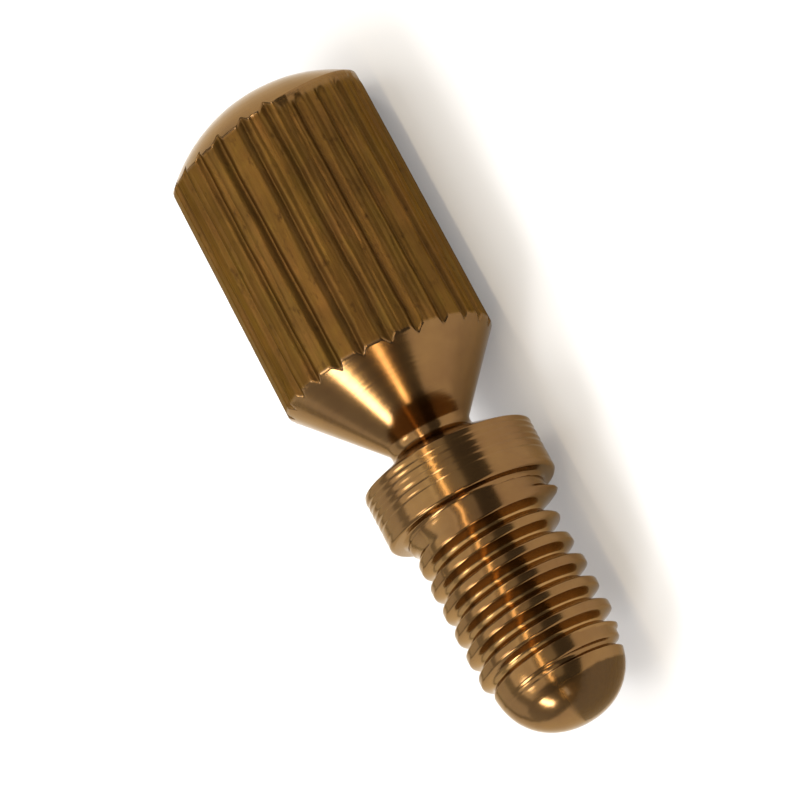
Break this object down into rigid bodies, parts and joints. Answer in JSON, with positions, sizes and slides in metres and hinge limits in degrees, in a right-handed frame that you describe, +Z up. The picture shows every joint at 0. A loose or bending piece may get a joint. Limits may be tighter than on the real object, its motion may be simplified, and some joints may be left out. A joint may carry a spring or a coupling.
{
  "type": "bull ring screw",
  "caption": "Turned break-off screw that closes a nose ring: knurled thumb head, cone to a thin neck that snaps, then a collar and a threaded shank with a round nose.",
  "frame": {"origin": "centre of the bounding box in X and Y, at the lowest point in Z, with the screw lying on its knurled head", "axes": "+X along the screw from the domed crown to the tip of the shank, +Z up"},
  "size_m": [0.0198, 0.006, 0.006],
  "materials": {
    "brass": "turned and knurled brass, dulled brown"
  },
  "bodies": {
    "root": {"screw": "brass"}
  },
  "joints": []
}
